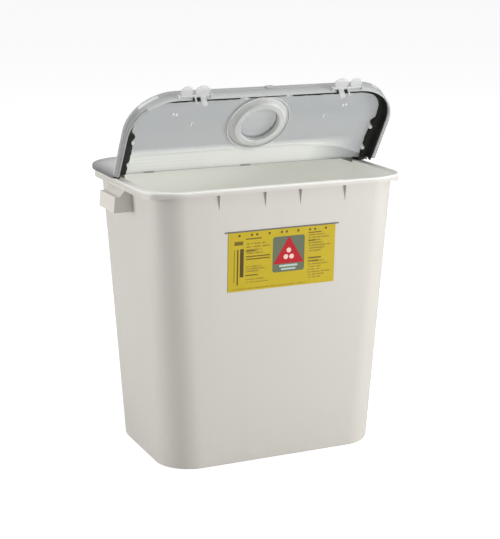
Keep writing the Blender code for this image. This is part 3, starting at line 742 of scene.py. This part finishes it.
class TubLook(bpy.types.PropertyGroup):
    colour: colour_setting("Tub Colour", "Colour of the opaque moulded tub", (0.600, 0.578, 0.535))
    # A lighter painted colour for the tub's inside, which stands in for light
    inside_painted_light: colour_setting("Inner Colour", "Colour of the tub's inside", (0.72, 0.72, 0.68))
    # Strength of the painted glow on the tub's inside, grips and rim
    glow: share_setting("Wall Glow", "Light that comes through the tub's walls", 0.27)
    roughness: share_setting("Tub Roughness", "Roughness of the tub's satin walls", 0.42, 0.05)


class LabelLook(bpy.types.PropertyGroup):
    colour: colour_setting("Film Colour", "Colour of the label's film", (0.540, 0.405, 0.014))
    panel: colour_setting("Panel Colour", "Colour of the rounded panel", (0.120, 0.145, 0.090))
    triangle: colour_setting("Triangle Colour", "Colour of the plain triangle", (0.430, 0.006, 0.014))


class LidLook(bpy.types.PropertyGroup):
    colour: colour_setting("Flap Tint", "Tint of the clear flap", (0.335, 0.362, 0.372))
    # A paler painted tint and glow for the flap by its hinge: painted light
    hinge_painted_light: colour_setting("Hinge Tint", "Tint of the flap towards its hinge", (0.820, 0.835, 0.800))
    skirt_colour: colour_setting("Skirt Tint", "Tint of the flap's skirt", (0.680, 0.695, 0.690))
    rear_colour: colour_setting("Rear Tint", "Tint of the fixed rear lid", (0.880, 0.895, 0.880))
    alpha: share_setting("Lid Body", "How solid the clear lid looks", 0.50)
    nub_width: length_setting("Nub Width", "Width of the nub on the flap's front edge", 0.0135, 0.005, 0.02)


class MilkyLook(bpy.types.PropertyGroup):
    colour: colour_setting("Milky Tint", "Tint of the collar and latches", (0.690, 0.700, 0.690))
    alpha: share_setting("Milky Body", "How solid the milky parts look", 0.58)


class SealLook(bpy.types.PropertyGroup):
    colour: colour_setting("Foam Colour", "Colour of the foam seals", (0.014, 0.015, 0.013))
    leg_deep: length_setting("Leg Depth", "How far down the skirt the seal reaches", 0.0160, 0.01, 0.018)


class StageLook(bpy.types.PropertyGroup):
    floor: colour_setting("Floor Colour", "Colour of the studio floor", (0.78, 0.78, 0.78))
    key_power: bpy.props.FloatProperty(
        name="Key Power", description="Power of the main lamp", subtype='POWER', min=0.0, default=70.0)
    camera_reach: length_setting("Camera Distance", "Distance of the camera from the tub", 2.4216, 0.5, 20.0)


SETTINGS = {
    "container_tub": TubLook, "container_label": LabelLook, "container_lid": LidLook,
    "container_milky": MilkyLook, "container_seal": SealLook, "container_stage": StageLook,
}


# Operators -------------------------------------------------------------------------------------------

class MakeTub(bpy.types.Operator):
    """The white tub with its lip and handles, and the pad on its floor"""
    bl_idname = "container.make_tub"
    bl_label = "Tub"

    def execute(self, context):
        white = moulded_white(context.scene.container_tub)
        settle(merged_copy("container_body", "tub"), "tub", white)
        settle(merged_copy("absorbent_pad", "floor_pad"), "tub", fibre_pad())
        return {'FINISHED'}


class MakeLabel(bpy.types.Operator):
    """The printed film on the tub's front"""
    bl_idname = "container.make_label"
    bl_label = "Label"

    def execute(self, context):
        film = label_print(context.scene.container_label)
        settle(merged_copy("front_label", "label"), "tub", film)
        return {'FINISHED'}


class MakeLid(bpy.types.Operator):
    """The clear rear lid, and the clear flap with the nub on its front edge"""
    bl_idname = "container.make_lid"
    bl_label = "Lid"

    def execute(self, context):
        look = context.scene.container_lid
        settle(merged_copy("rear_lid", "rear_cover"), "tub", rear_plastic(look))
        clear = flap_plastic(look)
        settle(merged_copy("front_flap", "flap"), "flap", clear)
        place = HINGE + ALONG_FLAP * (FLAP_LENGTH + 0.0006) + UNDER_FLAP * 0.0042
        clear_selection()
        bpy.ops.mesh.primitive_cube_add(size=1.0, location=place, rotation=(-LEAN, 0.0, 0.0))
        nub = context.object
        scale_and_bevel(nub, "finger_nub", (look.nub_width, 0.0046, 0.0050), 0.0011, 3)
        settle(nub, "flap", clear, 60.0)
        return {'FINISHED'}


class MakeMarks(bpy.types.Operator):
    """Small moulded dots and ticks under the flap's panel"""
    bl_idname = "container.make_marks"
    bl_label = "Moulded Marks"

    def execute(self, context):
        # The marks' finish has a painted glow that lightens them
        pale_painted_glow = clear_plastic("milky_mark", context.scene.container_milky.colour, 0.9, 0.2, 0.25)
        made = []
        for side in (-1, 1):
            for across, along, half_wide, half_long in MARKS:
                place = HINGE + ALONG_FLAP * along + UNDER_FLAP * (LID_SKIN + 0.0004)
                place.x = side * across
                clear_selection()
                bpy.ops.mesh.primitive_cylinder_add(
                    vertices=16, radius=1.0, depth=MARK_THICK, location=place, rotation=(-LEAN, 0.0, 0.0))
                made.append(context.object)
                scale_and_bevel(made[-1], "moulded_marks", (half_wide, half_long, 1.0), 0.0002, 2)
        make_active(made[0])
        for mark in made:
            mark.select_set(True)
        bpy.ops.object.join()
        settle(made[0], "flap", pale_painted_glow, 60.0)
        return {'FINISHED'}


class MakeSeals(bpy.types.Operator):
    """The black foam seals under both halves of the lid"""
    bl_idname = "container.make_seals"
    bl_label = "Seals"

    def execute(self, context):
        look = context.scene.container_seal
        black = foam(look)
        settle(merged_copy("rear_gasket", "rear_seal"), "tub", black)
        seal = foam_round_flap(look.leg_deep)
        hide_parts("flap_gasket")
        settle(seal, "flap", black, 50.0)
        return {'FINISHED'}


class MakePort(bpy.types.Operator):
    """The round port's collar and its cap"""
    bl_idname = "container.make_port"
    bl_label = "Port"

    def execute(self, context):
        milky = collar_plastic(context.scene.container_milky)
        settle(merged_copy("port_collar", "collar"), "flap", milky)
        look = context.scene.container_lid
        clear = clear_plastic("clear_cap", look.colour, look.alpha * 0.95, 0.3)
        settle(merged_copy("port_cap", "cap"), "cap", clear)
        return {'FINISHED'}


class MakeLatches(bpy.types.Operator):
    """The two finger latches on the flap's front skirt"""
    bl_idname = "container.make_latches"
    bl_label = "Latches"

    def execute(self, context):
        look = context.scene.container_milky
        # The latches' finish has a faint painted glow
        milky = clear_plastic("milky_latch", look.colour, look.alpha, 0.25, 0.06)
        for side in ("left", "right"):
            latch = merged_copy("latch_" + side, side + "_latch")
            apply_modifier(latch, 'REMESH', mode='VOXEL', voxel_size=LATCH_VOXEL)
            apply_modifier(latch, 'SMOOTH', factor=0.5, iterations=LATCH_SMOOTHING)
            settle(latch, side + "_latch", milky)
        return {'FINISHED'}


class MakeStage(bpy.types.Operator):
    """The pale floor, the soft lamps, the room and the camera"""
    bl_idname = "container.make_stage"
    bl_label = "Stage"

    def execute(self, context):
        look = context.scene.container_stage
        self.floor(context, look)
        self.lamps(context, look)
        self.camera(context, look)
        self.room(context)
        return {'FINISHED'}

    def floor(self, context, look):
        clear_selection()
        bpy.ops.mesh.primitive_grid_add(
            x_subdivisions=8, y_subdivisions=8, size=30.0, location=(0.0, 0.0, 0.0))
        floor = context.object
        floor.name = "studio_floor"
        paper = Finish("studio_paper", 0.9, 0.1)
        paper.set(colour=paper.mix(paper.noise(3.0), shade(look.floor), shade(look.floor, 0.99)),
                  glow=WHITE, glow_strength=paper.camera_sees() * FLOOR_LIFT)
        floor.data.materials.append(paper.material)

    def lamps(self, context, look):
        for name, place, share, size in LAMPS:
            bpy.ops.object.light_add(type='AREA', location=place)
            lamp = context.object
            lamp.name = name
            lamp.data.energy = look.key_power * share
            lamp.data.size = size
            lamp.rotation_mode = 'QUATERNION'
            lamp.rotation_quaternion = (Vector(place) - LAMP_AIM).to_track_quat('Z', 'Y')

    def camera(self, context, look):
        right = Vector((math.cos(CAMERA_TURN), math.sin(CAMERA_TURN), 0.0))
        level = math.cos(CAMERA_RISE)
        back = Vector((math.sin(CAMERA_TURN) * level, -math.cos(CAMERA_TURN) * level, math.sin(CAMERA_RISE)))
        up = back.cross(right)
        bpy.ops.object.camera_add()
        camera = context.object
        camera.name = "studio_camera"
        camera.rotation_mode = 'QUATERNION'
        camera.rotation_quaternion = Matrix((right, up, back)).transposed().to_quaternion()
        camera.location = CAMERA_AIM + right * CAMERA_ASIDE + up * CAMERA_ABOVE + back * look.camera_reach
        camera.data.lens = 97.88
        camera.data.sensor_width = 36.0
        context.scene.camera = camera

    def room(self, context):
        """A white room that lights the piece a little less than it shows."""
        world = bpy.data.worlds.new("studio_room")
        context.scene.world = world
        world.use_nodes = True
        room = Wiring(world.node_tree)
        air = room.tree.nodes["Background"].inputs
        room.feed(air["Color"], WHITE)
        room.feed(air["Strength"], room.camera_sees().spread(ROOM_LIGHT, 1.0))
        context.scene.view_settings.view_transform = 'Standard'


OPERATORS = (MakeTub, MakeLabel, MakeLid, MakeMarks, MakeSeals, MakePort, MakeLatches, MakeStage)


class ContainerPanel(bpy.types.Panel):
    """Lists the container's pieces and its studio"""
    bl_idname = "VIEW3D_PT_container"
    bl_label = "Sharps Container"
    bl_space_type = 'VIEW_3D'
    bl_region_type = 'UI'
    bl_category = "Container"

    def draw(self, context):
        for name, group in SETTINGS.items():
            box = self.layout.box()
            for key in group.__annotations__:
                box.prop(getattr(context.scene, name), key)
        for operator in OPERATORS:
            self.layout.operator(operator.bl_idname)


CLASSES = (*SETTINGS.values(), *OPERATORS, ContainerPanel)


def register():
    for made in CLASSES:
        bpy.utils.register_class(made)
    for name, group in SETTINGS.items():
        setattr(bpy.types.Scene, name, bpy.props.PointerProperty(type=group))


def unregister():
    for name in SETTINGS:
        delattr(bpy.types.Scene, name)
    for made in reversed(CLASSES):
        bpy.utils.unregister_class(made)


def main():
    register()
    for operator in OPERATORS:
        family, call = operator.bl_idname.split(".")
        getattr(getattr(bpy.ops, family), call)()


if __name__ == "__main__":
    main()
